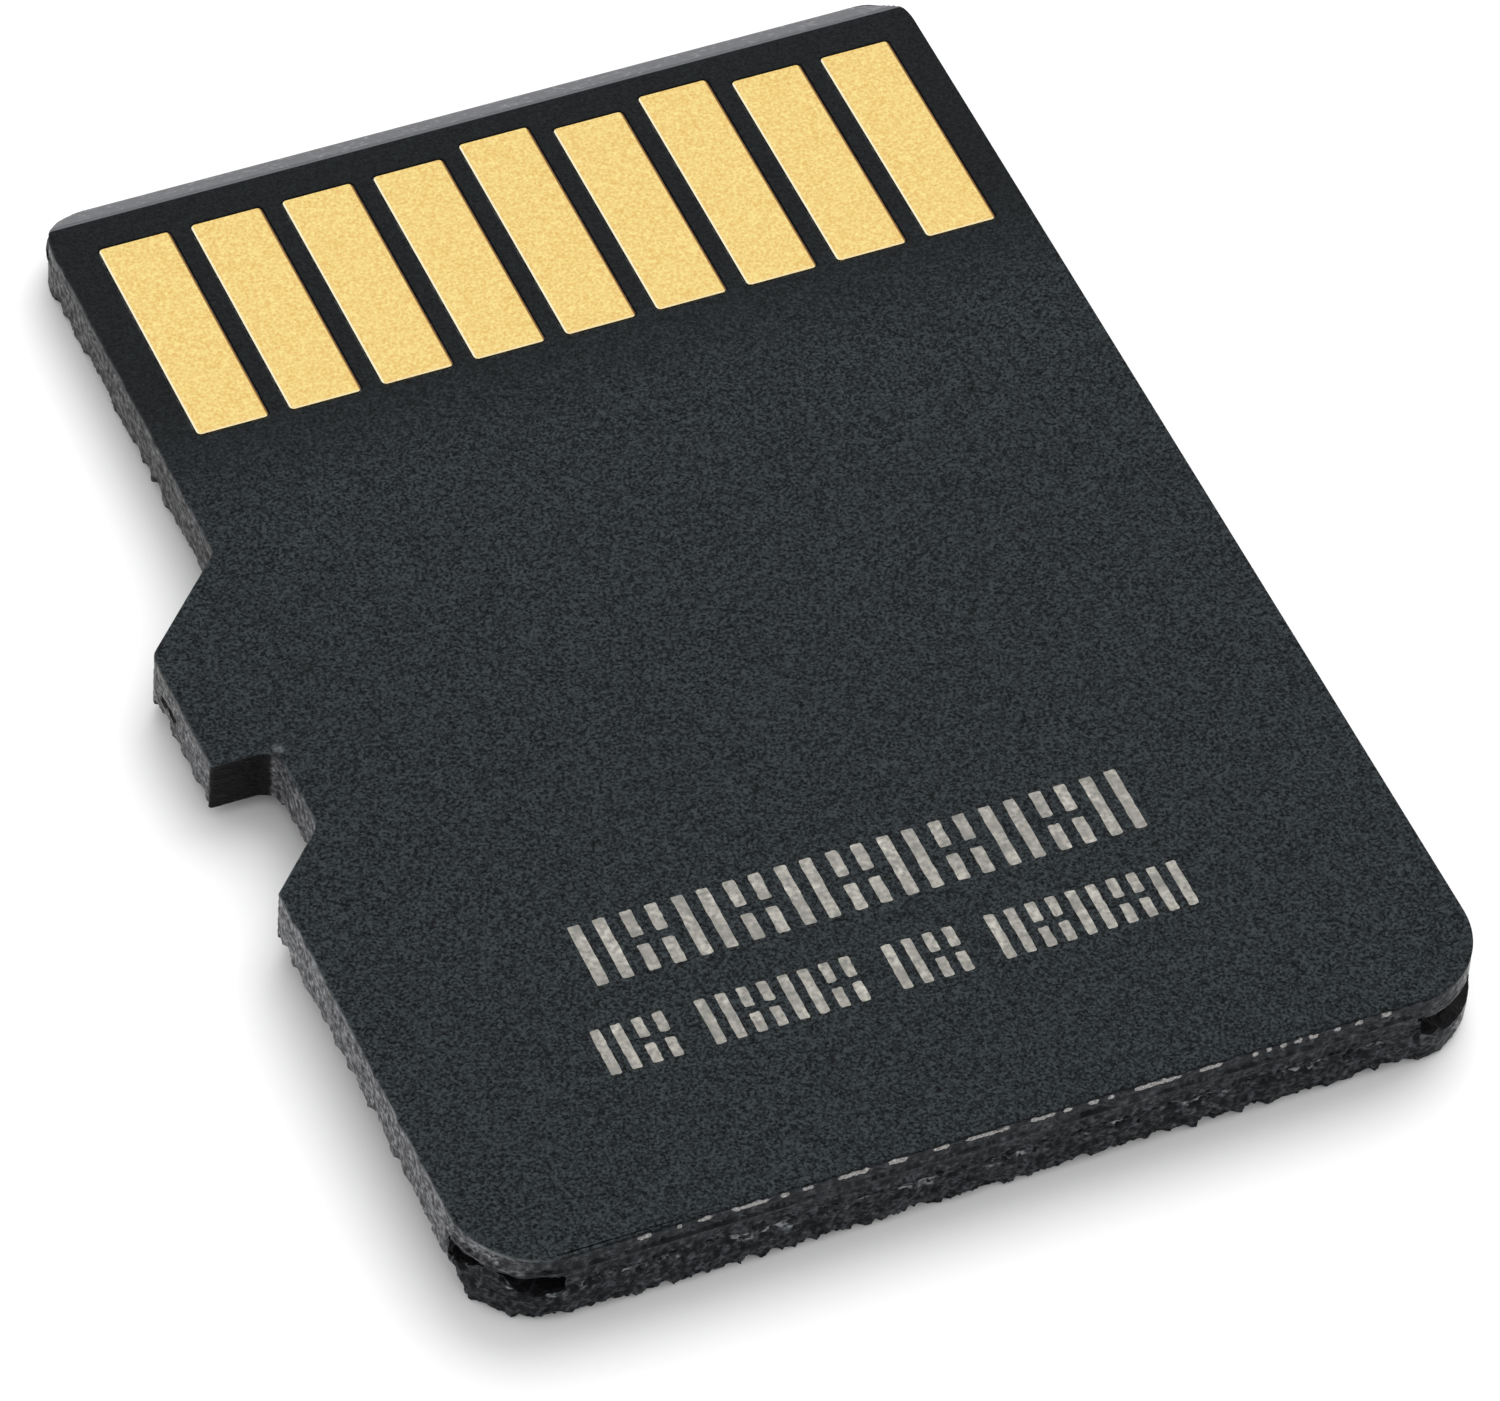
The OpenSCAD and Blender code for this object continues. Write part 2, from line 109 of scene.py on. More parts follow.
def level_group():
    """A soft step on one Object axis: 0 below Low and 1 above High."""
    tree, given, out = new_group(
        "level_mask",
        [("Axis", Z_AXIS), ("Low", 0.0), ("High", 1.0)],
        [("Mask", "NodeSocketFloat")])
    axis = given.outputs["Axis"]
    x, y, z = add(tree, "ShaderNodeSeparateXYZ", {0: object_place(tree)}).outputs
    is_y = add(tree, "ShaderNodeMath", {0: axis, 1: 1.5}, operation="LESS_THAN")
    is_x = add(tree, "ShaderNodeMath", {0: axis, 1: 0.5}, operation="LESS_THAN")
    y_or_z = add(tree, "ShaderNodeMix", {0: is_y.outputs[0], 2: z, 3: y})
    chosen = add(tree, "ShaderNodeMix", {0: is_x.outputs[0], 2: y_or_z.outputs[0], 3: x})
    step = add(tree, "ShaderNodeMapRange", {
        0: chosen.outputs[0], 1: given.outputs["Low"], 2: given.outputs["High"]},
        interpolation_type="SMOOTHSTEP")
    tree.links.new(step.outputs[0], out.inputs["Mask"])
    return tree


GRAIN = grain_group()
LEVEL = level_group()


def grain(tree, period, contrast, along=1.0):
    """Grain of this period. An along below 1 draws it out level with the card's face."""
    inputs = {"Period": period * MM, "Contrast": contrast, "Along": along}
    return add(tree, "ShaderNodeGroup", inputs, node_tree=GRAIN).outputs["Grain"]


def level(tree, axis, low, high):
    """A soft step from 0 to 1 between two places on this axis."""
    inputs = {"Axis": axis, "Low": low * MM, "High": high * MM}
    return add(tree, "ShaderNodeGroup", inputs, node_tree=LEVEL).outputs["Mask"]


def clamped(tree, operation, a, b):
    """One sum on two values, held between 0 and 1."""
    return add(tree, "ShaderNodeMath", {0: a, 1: b}, operation=operation, use_clamp=True).outputs[0]


def both(tree, a, b):
    return clamped(tree, "MULTIPLY", a, b)


def either(tree, a, b):
    return clamped(tree, "MAXIMUM", a, b)


def opposite(tree, mask):
    return clamped(tree, "SUBTRACT", 1.0, mask)


def within(tree, axis, rise, fall):
    """A mask that steps up between the two places of rise and down between those of fall."""
    return both(tree, level(tree, axis, *rise), opposite(tree, level(tree, axis, *fall)))


def spread(tree, value, low, high, start=0.0, end=1.0):
    """The value's range from start to end spread between low and high, and held there."""
    return add(tree, "ShaderNodeMapRange", {0: value, 1: start, 2: end, 3: low, 4: high}).outputs[0]


def blend_colour(tree, mask, low, high):
    """Mixes from the colour low to the colour high by the mask."""
    node = add(tree, "ShaderNodeMix", {0: mask}, data_type="RGBA")
    for index, colour in ((6, low), (7, high)):
        if isinstance(colour, bpy.types.NodeSocket):
            tree.links.new(colour, node.inputs[index])
        else:
            node.inputs[index].default_value = (*colour, 1.0)
    return node.outputs[2]


def surface_normal(tree):
    return add(tree, "ShaderNodeNewGeometry").outputs["Normal"]


def finish(name, roughness=0.5, metallic=0.0, specular=0.5):
    """A new material with its node tree and Principled shader."""
    material = bpy.data.materials.new(name)
    material.use_nodes = True
    shader = material.node_tree.nodes["Principled BSDF"]
    shader.inputs["Roughness"].default_value = roughness
    shader.inputs["Metallic"].default_value = metallic
    shader.inputs["Specular IOR Level"].default_value = specular
    return material, material.node_tree, shader


def paint(tree, shader, mask, low, high):
    """Links the mix of two colours by the mask to the shader's base colour."""
    tree.links.new(blend_colour(tree, mask, low, high), shader.inputs["Base Color"])


def glaze(tree, shader, mask, least):
    """The least gloss all over, and the mask's gloss above it by a coat just as rough."""
    shader.inputs["Specular IOR Level"].default_value = least
    shader.inputs["Coat Roughness"].default_value = shader.inputs["Roughness"].default_value
    shader.inputs["Coat IOR"].default_value = 1.79
    coat_weight = spread(tree, mask, 0.0, 1.0, least, least + 0.86)
    tree.links.new(coat_weight, shader.inputs["Coat Weight"])


def relief(tree, shader, height, depth):
    """Feeds a bump of this depth in millimetres to the shader's normal."""
    bump = add(tree, "ShaderNodeBump", {"Height": height, "Distance": depth * MM, "Strength": 1.0})
    tree.links.new(bump.outputs["Normal"], shader.inputs["Normal"])


def dress(name, material):
    """Gives a CAD node its material."""
    mesh = nodes[name].data
    mesh.materials.clear()
    mesh.materials.append(material)


def sawn_shader(tree, shader, wrap, start):
    """Black sawn resin, mottled by two grains. The long sides are a little shiny, and
    painted lighter than the grip edge as a painted reflection of the bright floor; from the
    notch to the contact end, and along their top forward of the notch, they are painted
    darker as painted shade. The grip edge is darker and duller, with pale chips in a row.
    The notch's front wall and all up-facing ledges are painted nearly black as painted
    shade, and the bevel at the contact edge is smooth and painted paler as a painted
    reflection. wrap is how far along X, in from the notched side, and start how far
    along Y, in from the grip edge, the look of the long sides ends."""
    streak = grain(tree, 0.035, 3.0, along=0.6)
    mottle = both(tree, streak, grain(tree, 0.1, 3.2))
    # The long sides are painted lighter than the grip edge, as a painted reflection of the bright
    # floor, and from the notch to the contact end they are painted darker, as painted shade.
    side = blend_colour(tree, mottle, (0.02, 0.02, 0.022), (0.225, 0.23, 0.245))
    shaded_side_front = blend_colour(tree, mottle, (0.006, 0.006, 0.007), (0.05, 0.052, 0.056))
    side = blend_colour(tree, level(tree, Y_AXIS, -0.8, 2.0), side, shaded_side_front)
    # Painted shade along the top of the long sides, forward of the notch.
    shade = both(tree, level(tree, Z_AXIS, 0.84, 0.89), level(tree, Y_AXIS, -0.9, NOTCH_Y))
    side = blend_colour(tree, both(tree, shade, 0.6), side, (0.01, 0.01, 0.011))

    rear = blend_colour(tree, mottle, (0.003, 0.004, 0.005), (0.055, 0.061, 0.069))
    upper = spread(tree, level(tree, Z_AXIS, 0.52, 0.7), 0.0, 0.35)
    rear = blend_colour(tree, upper, rear, (0.03, 0.031, 0.035))
    flake = both(tree, grain(tree, 0.05, 3.0, along=0.5), grain(tree, 0.3, 3.0))
    chips = both(
        tree, either(tree, spread(tree, flake, -1.2, 1.6), 0.0),
        within(tree, Z_AXIS, (0.33, 0.39), (0.46, 0.52)))
    rear = blend_colour(tree, chips, rear, (0.2, 0.21, 0.22))

    off_rear = either(
        tree, level(tree, Y_AXIS, REAR + start, REAR + start + 0.25),
        opposite(tree, level(tree, X_AXIS, LEFT + wrap, LEFT + wrap + 0.6)))
    off_rear = either(tree, off_rear, level(tree, X_AXIS, RIGHT - 0.6, RIGHT - 0.2))
    colour = blend_colour(tree, off_rear, rear, side)

    # The notch's front wall and the up-facing ledges are painted nearly black, as painted shade in
    # the recesses.
    notch_wall_shade = within(
        tree, Y_AXIS, (NOTCH_Y - 0.07, NOTCH_Y - 0.03), (NOTCH_Y + 0.02, NOTCH_Y + 0.06))
    up = add(tree, "ShaderNodeSeparateXYZ", {0: surface_normal(tree)}).outputs[2]
    bevel = level(tree, Y_AXIS, FRONT - BEVEL_LENGTH - 0.04, FRONT - BEVEL_LENGTH)
    rim = either(tree, level(tree, Z_AXIS, BOARD_TOP - 0.02, BOARD_TOP - 0.005), bevel)
    ledge_shade = both(tree, spread(tree, up, -0.8, 1.2), opposite(tree, rim))
    painted_shade = either(tree, notch_wall_shade, ledge_shade)
    colour = blend_colour(tree, painted_shade, colour, (0.006, 0.006, 0.007))
    # The bevel at the contact edge is painted paler, as a painted reflection of the bright
    # surroundings.
    bevel_sheen = both(tree, bevel, spread(tree, up, -0.6, 1.4))
    bevel_sheen_colour = blend_colour(tree, mottle, (0.034, 0.036, 0.043), (0.06, 0.063, 0.073))
    paint(tree, shader, bevel_sheen, colour, bevel_sheen_colour)

    shine = both(tree, spread(tree, off_rear, 0.14, 0.5), spread(tree, mottle, 0.35, 2.4))
    shine = both(tree, shine, spread(tree, painted_shade, 1.0, 0.15))
    glaze(tree, shader, either(tree, shine, spread(tree, bevel_sheen, 0.0, 0.6)), 0.09)
    relief(tree, shader, both(tree, mottle, spread(tree, bevel_sheen, 1.0, 0.15)), 0.014)


def card_outline(right_radius, left_radius, step=0.03, rear_step=0.018, turns=14):
    """The card's outline, counter-clockwise, as points, inward normals, the number of
    the edge that each point lies on, or -1 on a corner, and the distance along the
    outline. Each corner is an arc of its own radius from one tangent point to the
    other, and each edge is cut in equal steps. The two grip corners and the grip edge
    are cut finer than the rest."""
    corner = np.array([
        [RIGHT, REAR, right_radius], [RIGHT, FRONT, 0.6], [NARROW_X, FRONT, 0.68],
        [NARROW_X, 2.3, 0.2], [LEFT, 1.2, 0.2], [LEFT, NOTCH_Y, 0.04],
        [NOTCH_X, NOTCH_Y, 0.2], [NOTCH_X, -1.5, 0.2], [LEFT, -2.2, 0.04],
        [LEFT, REAR, left_radius]])
    xy, radius = corner[:, :2], corner[:, 2]
    points, edges = [], []
    back = np.roll(xy, 1, 0) - xy
    ahead = np.roll(xy, -1, 0) - xy
    length = np.linalg.norm(ahead, axis=1)
    back /= np.linalg.norm(back, axis=1)[:, None]
    ahead /= length[:, None]
    half = np.arccos((back * ahead).sum(1)) / 2
    middle = back + ahead
    middle /= np.linalg.norm(middle, axis=1)[:, None]
    centre = xy + middle * (radius / np.sin(half))[:, None]
    start = xy + back * (radius / np.tan(half))[:, None]
    end = xy + ahead * (radius / np.tan(half))[:, None]
    for i in range(len(corner)):
        a = math.atan2(*(start[i] - centre[i])[::-1])
        b = math.atan2(*(end[i] - centre[i])[::-1])
        turn = (b - a + math.pi) % (2 * math.pi) - math.pi
        steps = 3 * turns if i in (0, GRIP_EDGE) else turns
        t = a + turn * np.linspace(0, 1, steps + 1)
        points.append(centre[i] + radius[i] * np.stack([np.cos(t), np.sin(t)], 1))
        edges.append(np.full(steps + 1, -1))
        count = math.ceil(length[i] / (rear_step if i == GRIP_EDGE else step))
        share = np.linspace(0, 1, count + 1)[1:-1, None]
        points.append(end[i] + share * (start[(i + 1) % len(corner)] - end[i]))
        edges.append(np.full(count - 1, i))
    points = np.concatenate(points)
    along = np.roll(points, -1, 0) - np.roll(points, 1, 0)
    along /= np.linalg.norm(along, axis=1)[:, None]
    run = np.cumsum(np.linalg.norm(points - np.roll(points, 1, 0), axis=1))
    return points, np.stack([-along[:, 1], along[:, 0]], 1), np.concatenate(edges), run


def lattice_noise(points, period, seed):
    """Noise from -1 to 1: random values on a cubic lattice of this period, blended
    between the eight nearest by t * t * (3 - 2 * t) on each axis."""
    table = np.random.default_rng(seed).uniform(-1, 1, (64, 64, 64))
    place = points / period
    cell = np.floor(place).astype(int)
    t = place - cell
    t = t * t * (3 - 2 * t)
    total = 0.0
    for dx, dy, dz in np.ndindex(2, 2, 2):
        weight = (t[..., 0] if dx else 1 - t[..., 0]) * (t[..., 1] if dy else 1 - t[..., 1])
        weight = weight * (t[..., 2] if dz else 1 - t[..., 2])
        total = total + weight * table[
            (cell[..., 0] + dx) % 64, (cell[..., 1] + dy) % 64, (cell[..., 2] + dz) % 64]
    return total


def smooth_step(x, low, high):
    """t * t * (3 - 2 * t), with t the share of the way from low to high."""
    t = np.clip((x - low) / (high - low), 0, 1)
    return t * t * (3 - 2 * t)


def bites(run, rise, pitch, height, depth, seed):
    """Depth of the shell-shaped bites that the saw breaks out, at this distance along
    the outline and this rise above their low edge. Each is a half ellipsoid,
    depth * sqrt(1 - u * u - v * v), in its own cell, with a random middle, width,
    height and depth."""
    table = np.random.default_rng(seed).uniform(0, 1, (512, 4))
    cell = np.floor(run / pitch).astype(int)
    deepest = np.zeros(run.shape)
    for step in (-1, 0, 1):
        pick = table[(cell + step) % 512]
        middle = (cell + step + 0.25 + 0.5 * pick[..., 0]) * pitch
        u = (run - middle) / (pitch * (0.35 + 0.3 * pick[..., 1]))
        v = rise / (height * (0.4 + 0.8 * pick[..., 2]))
        bowl = np.sqrt(np.clip(1 - u * u - v * v, 0, 1))
        deepest = np.maximum(deepest, depth * (0.3 + 0.7 * pick[..., 3]) * bowl)
    return deepest


def tear_depth(points, edges, run):
    """How far the saw tore the wall in at each point: a fine roughness everywhere,
    bites along the lower edge, a slot in the lug's side, and on the grip edge finer
    bites, a second row of them and a deep uneven roughness, calmer near its plain
    end. It fades out at the board's inner coat, and by half at the board's top."""
    x, y, z = (points[..., k] for k in range(3))
    run = np.broadcast_to(run, z.shape)
    on_corner = edges == -1
    fine = lattice_noise(points, 0.035, 11)
    mid = lattice_noise(points, 0.09, 12)
    broad = lattice_noise(points, 0.33, 13)
    at_rear = ((edges == GRIP_EDGE) | (on_corner & (y < REAR + BOARD_RADIUS))).astype(float)
    smooth = (edges == CONTACT_EDGE) | (edges == NOTCH_WALL) | (on_corner & (y > REAR + 1.3))
    cut = (~smooth).astype(float)
    ridge_y = REAR + RIDGE_LENGTH - RIDGE_RADIUS + np.sqrt(RIDGE_RADIUS ** 2 - x ** 2)
    rise = z - np.where(y < ridge_y + 0.05, 0.0, LABEL_Z)
    rough = np.clip(0.5 + 0.45 * fine + 0.4 * mid, 0, 1) ** 1.3
    depth = (0.012 + 0.026 * at_rear) * rough + 0.02 * at_rear * np.clip(broad, 0, 1)
    depth = depth + cut * bites(run, rise, BITE_PITCH, BITE_HEIGHT, BITE_DEPTH, 16)
    depth = depth + cut * (0.3 + 0.7 * at_rear) * bites(run + 0.3, rise, 0.12, 0.12, 0.035, 18)
    second = bites(run, z - 0.42 - 0.05 * broad, 0.19, 0.07, 0.045, 17)
    depth = depth + at_rear * (mid + 0.4 * broad > -0.05) * second
    depth = depth * (1 - 0.7 * at_rear * smooth_step(x, 4.4, 4.8))
    slot = np.exp(-((y - 0.78) / 0.2) ** 4 - ((z - 0.58 - 0.06 * (0.78 - y)) / 0.035) ** 4)
    depth = depth + 0.08 * slot * ((edges == LUG_EDGE) | (on_corner & (x < -5)))
    near = np.abs(z - (MOULD_TOP + BOARD_LOW) / 2) - (BOARD_LOW - MOULD_TOP) / 2
    return depth * smooth_step(near, 0.0, 0.03) * (1 - 0.5 * smooth_step(z, 0.84, BOARD_TOP))


def sawn_rings(levels, right_radius, left_radius):
    """Rings of the outline at these heights, torn in by the saw."""
    flat, normals, edges, run = card_outline(right_radius, left_radius)
    z = np.repeat(np.asarray(levels)[:, None], len(flat), 1)
    points = np.concatenate([np.broadcast_to(flat, (*z.shape, 2)), z[..., None]], -1)
    torn = points.copy()
    torn[..., :2] += normals * tear_depth(points, edges, run)[..., None]
    return torn


def cut_bevel(points):
    """Cuts the points back to the bevel, a plane that falls towards the contact edge."""
    cut = points.copy()
    slope_y = FRONT - BEVEL_LENGTH + (FACE_Z - cut[..., 2]) / BEVEL_SLOPE
    cut[..., 1] = np.minimum(cut[..., 1], slope_y)
    return cut


def wall_faces(rows, columns, first=0):
    """Quads between rings of points, row above row, that face outwards."""
    r, c = np.meshgrid(np.arange(rows - 1), np.arange(columns), indexing="ij")
    a = first + r * columns + c
    b = first + r * columns + (c + 1) % columns
    return np.stack([a, b, b + columns, a + columns], -1).reshape(-1, 4).tolist()


def cap_faces(loops, firsts, up):
    """Triangles that fill the first loop and leave out the others, facing up or down."""
    flat = [[Vector((x, y, 0)) for x, y in loop[:, :2]] for loop in loops]
    index = np.concatenate([first + np.arange(len(loop)) for loop, first in zip(loops, firsts)])
    spots = np.concatenate([loop[:, :2] for loop in loops])
    tri = np.array(tessellate_polygon(flat))
    a, b, c = (spots[tri[:, k]] for k in range(3))
    area = (b[:, 0] - a[:, 0]) * (c[:, 1] - a[:, 1]) - (b[:, 1] - a[:, 1]) * (c[:, 0] - a[:, 0])
    turned = (area > 0) != up
    tri[turned] = tri[turned][:, ::-1]
    return index[tri[np.abs(area) > 1e-12]].tolist()


def slab(rings, points, faces):
    """Adds the closed solid of these rings, one above another, to the points and faces."""
    rows, columns = rings.shape[:2]
    first = sum(len(part) for part in points)
    faces += wall_faces(rows, columns, first)
    faces += cap_faces([rings[0]], [first], False)
    faces += cap_faces([rings[-1]], [first + (rows - 1) * columns], True)
    points.append(rings.reshape(-1, 3))


def make_piece(name, points, faces, material, replaced=()):
    """A mesh object from points in millimetres and faces, shaded smooth up to 35 degrees."""
    mesh = bpy.data.meshes.new(name)
    mesh.from_pydata((np.concatenate(points) * MM).tolist(), [], faces)
    mesh.materials.append(material)
    mesh.shade_smooth()
    mesh.set_sharp_from_angle(angle=math.radians(35))
    mesh.validate()
    piece = bpy.data.objects.new(name, mesh)
    bpy.context.scene.collection.objects.link(piece)
    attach(piece, "root")
    if replaced:
        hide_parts(*replaced)


laminate, tree, shader = finish("cut_laminate", roughness=0.5)
sawn_shader(tree, shader, 0.1, 0.45)
board_points, board_faces = [], []
board_levels = np.linspace(BOARD_LOW, BOARD_TOP, 9)
board = cut_bevel(sawn_rings(board_levels, BOARD_RADIUS, BOARD_RADIUS))
slab(board, board_points, board_faces)
make_piece("sawn_board", board_points, board_faces, laminate, ["laminate_core"])

# Etched copper and plated vias
# The board's inner traces, solder lands and the plated holes under the contacts.
# Etched from copper foil, so their faces are satin with a fine tooth.
copper, tree, shader = finish("etched_copper", roughness=0.4, metallic=1.0)
tooth = grain(tree, 0.04, 1.4)
paint(tree, shader, tooth, (0.62, 0.3, 0.17), (0.8, 0.45, 0.28))
relief(tree, shader, tooth, 0.002)
for name in ("contact_traces", "channel_traces", "chip_lands", "plated_vias"):
    dress(name, copper)

# Inner solder mask
# The printed resin coat on the board's inner side. Its sawn edge shows as a thin
# line between the board and the moulding, as dark as they are.
inner_coat, tree, shader = finish("inner_coat", roughness=0.5)
sawn_shader(tree, shader, 0.1, 0.45)
dress("inner_solder_mask", inner_coat)

# Gold contacts
# Nine copper contacts plated with nickel and hard gold. The plating follows the
# copper's tooth, so each shows a fine even grain. Their edges are a little round,
# with a painted highlight on the left and lower edges and painted shade, in brown, on the right.
CONTACTS = ["contact_pad_%d" % number for number in range(1, 10)]
gold, tree, shader = finish("gold_plating", roughness=0.4, metallic=1.0)
tooth = grain(tree, 0.03, 2.4)
tint = blend_colour(tree, tooth, (0.80, 0.50, 0.15), (1.0, 0.83, 0.34))
tint = blend_colour(tree, both(tree, grain(tree, 0.9, 1.2), 0.2), tint, (0.95, 0.71, 0.28))
low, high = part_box(CONTACTS[0])
pitch = abs(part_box(CONTACTS[1])[0].x - low.x)
early = 0.01 * MM
width = high.x - low.x + early
x, y, z = add(tree, "ShaderNodeSeparateXYZ", {0: object_place(tree)}).outputs
inward = add(tree, "ShaderNodeMath", {0: x, 1: low.x - early}, operation="SUBTRACT").outputs[0]
inward = add(tree, "ShaderNodeMath", {0: inward, 1: pitch}, operation="FLOORED_MODULO").outputs[0]
# Painted highlight on each contact's left and lower edges, and painted shade in brown on its right
# edge.
left_rim_highlight = spread(tree, inward, 0.0, 1.0, 0.034 * MM, 0.026 * MM)
lower_rim_highlight = spread(tree, y, 0.0, 1.0, low.y + 0.026 * MM, low.y + 0.018 * MM)
right_rim_shade = spread(tree, inward, 0.0, 1.0, width - 0.022 * MM, width - 0.014 * MM)
tint = blend_colour(
    tree, either(tree, left_rim_highlight, both(tree, lower_rim_highlight, 0.45)), tint, (1.0, 0.94, 0.7))
paint(tree, shader, right_rim_shade, tint, (0.3, 0.15, 0.05))
relief(tree, shader, tooth, 0.002)
for name in CONTACTS:
    dress(name, gold)
    weld = nodes[name].modifiers.new("weld", "WELD")
    weld.merge_threshold = 0.0005 * MM
    rim = nodes[name].modifiers.new("rim", "BEVEL")
    rim.width = 0.04 * MM
    rim.segments = 3
    rim.limit_method = "ANGLE"
    rim.angle_limit = math.radians(60)

# Chips and their films
# Two memory dies and a controller, ground thin and glued with film.
# Silicon is dark and shiny with fine grinding lines, and the film is amber resin.
silicon, tree, shader = finish("ground_silicon", roughness=0.25, specular=0.8)
paint(tree, shader, grain(tree, 0.03, 1.2, along=0.2), (0.12, 0.125, 0.14), (0.24, 0.25, 0.27))
for name in ("flash_die_1", "flash_die_2", "controller_die"):
    dress(name, silicon)

film, tree, shader = finish("die_film", roughness=0.45)
paint(tree, shader, grain(tree, 0.4, 1.2), (0.55, 0.36, 0.12), (0.75, 0.55, 0.24))
for name in ("flash_film_1", "flash_film_2", "controller_film"):
    dress(name, film)

# Bond wires
# Fine drawn gold wire that joins the chips to the board's bond fingers.
# A machine balls each one on the die, loops it over and stitches it down.
drawn_gold, tree, shader = finish("drawn_gold", roughness=0.22, metallic=1.0)
paint(tree, shader, grain(tree, 0.02, 1.0), (0.85, 0.57, 0.22), (0.95, 0.68, 0.32))
for name in ("contact_bond_wires", "channel_bond_wires", "flash_bond_wires", "stack_bond_wires"):
    dress(name, drawn_gold)

# Chip capacitors and resistors
# Fired ceramic blocks with tinned end caps.
# Each stands on two copper lands and is soldered to them.
brown, tree, shader = finish("fired_ceramic", roughness=0.5)
paint(tree, shader, grain(tree, 0.03, 1.6), (0.34, 0.23, 0.13), (0.5, 0.38, 0.24))
dress("capacitor_bodies", brown)

black, tree, shader = finish("glazed_ceramic", roughness=0.3)
paint(tree, shader, grain(tree, 0.04, 1.2), (0.02, 0.02, 0.024), (0.05, 0.05, 0.055))
dress("resistor_bodies", black)

tin, tree, shader = finish("dull_tin", roughness=0.4, metallic=1.0)
paint(tree, shader, grain(tree, 0.05, 1.4), (0.6, 0.6, 0.6), (0.78, 0.78, 0.77))
for name in ("capacitor_end_caps", "resistor_end_caps", "solder_joints"):
    dress(name, tin)

# Moulded body
# Black filled epoxy, moulded over the chips as one panel and sawn apart. The cut
# is smooth above and torn below, with an open pocket at each grip corner, and the
# grip ridge stands out under the far end.
LIP_RADIUS_RIGHT, LIP_RADIUS_LEFT, LIP_TOP = 0.88, 1.0, 0.5
POCKET_LOW, POCKET_HIGH, POCKET_DEPTH, POCKET_HALF = 0.46, 0.64, 0.9, 0.6
RIDGE_LEAN, RIDGE_INSET, CHAMFER = 0.12, 0.2, 0.1
GAP = 0.001


def cut_pockets(points):
    """In the pockets' height, moves each point near a grip corner in to the pocket's
    floor, a plane across the corner's diagonal, worn uneven by noise."""
    moved = points.copy()
    inside = (points[..., 2] > POCKET_LOW) & (points[..., 2] < POCKET_HIGH)
    for side in (-1, 1):
        inward = np.array([-side, 1]) / math.sqrt(2)
        offset = moved[..., :2] - [side * RIGHT, REAR]
        deep = offset @ inward
        across = offset @ np.array([inward[1], -inward[0]])
        floor = POCKET_DEPTH - 0.1 * np.clip(lattice_noise(points, 0.16, 15), 0, 1)
        hit = inside & (np.abs(across) < POCKET_HALF) & (deep < floor)
        moved[..., :2] += np.where(hit, floor - deep, 0)[..., None] * inward
    return moved


def wear_lips(points):
    """Breaks the lip under each pocket unevenly: within the corner, the heights between
    the label face and the pocket are pressed down by a random share, and drawn up to
    a ragged tooth in the middle of the notched side's corner."""
    worn = points.copy()
    x, y, z = (points[..., k] for k in range(3))
    corner = smooth_step(np.abs(x), RIGHT - 1.0, RIGHT - 0.6)
    corner = corner * smooth_step(-y, -REAR - 1.05, -REAR - 0.75)
    off_tooth = np.maximum(
        smooth_step(y, REAR + 0.5, REAR + 0.75), smooth_step(x, LEFT + 0.3, LEFT + 0.45))
    wear = lattice_noise(points * [1, 1, 0], 0.11, 19)
    share = np.clip(1.6 * off_tooth - 0.85 + 0.6 * wear, -0.95, 0.95)
    worn[..., 2] -= np.where(z < POCKET_LOW, corner * share * (z - LABEL_Z), 0)
    return worn


def chamfer_front(points):
    """Cuts the label side of the contact edge back at 45 degrees."""
    cut = points.copy()
    cut[..., 1] = np.minimum(cut[..., 1], FRONT - CHAMFER + points[..., 2] - LABEL_Z)
    return cut


lip_levels = np.concatenate([
    np.linspace(LABEL_Z, POCKET_LOW - GAP, 7), np.linspace(POCKET_LOW + GAP, LIP_TOP - GAP, 4)])
upper_levels = np.concatenate([
    np.linspace(LIP_TOP + GAP, POCKET_HIGH - GAP, 8), [POCKET_HIGH + GAP / 2, MOULD_TOP]])
body = np.concatenate([
    sawn_rings(lip_levels, LIP_RADIUS_RIGHT, LIP_RADIUS_LEFT),
    sawn_rings(upper_levels, BOARD_RADIUS, BOARD_RADIUS)])
body_points, body_faces = [], []
slab(chamfer_front(wear_lips(cut_pockets(body))), body_points, body_faces)

# The ridge's side follows the outline round the grip edge from one end of its arc to
# the other, and the arc itself leans out a little towards the label face.
flat, normals, edges, run = card_outline(LIP_RADIUS_RIGHT, LIP_RADIUS_LEFT)
arc_middle = REAR + RIDGE_LENGTH - RIDGE_RADIUS
arc_end = arc_middle + math.sqrt(RIDGE_RADIUS ** 2 - RIGHT ** 2)
start = int(np.argmax((flat[:, 0] < 0) & (flat[:, 1] < arc_end)))
stop = int(np.argmax((edges == 0) & (flat[:, 1] > arc_end)))
keep = np.concatenate([np.arange(start, len(flat)), np.arange(stop)])
ridge_levels = np.concatenate([np.linspace(0, LABEL_Z, 12), [LABEL_Z + 0.01]])
z = np.repeat(ridge_levels[:, None], len(keep), 1)
side = np.concatenate([np.broadcast_to(flat[keep], (*z.shape, 2)), z[..., None]], -1).copy()
inset = RIDGE_INSET * (side[..., 0] < 0) * (1 - smooth_step(-side[..., 1], 6.3, 6.95))
side[..., :2] += normals[keep] * (inset + tear_depth(side, edges[keep], run[keep]))[..., None]
arc_x = np.linspace(RIGHT, LEFT + RIDGE_INSET, 90)
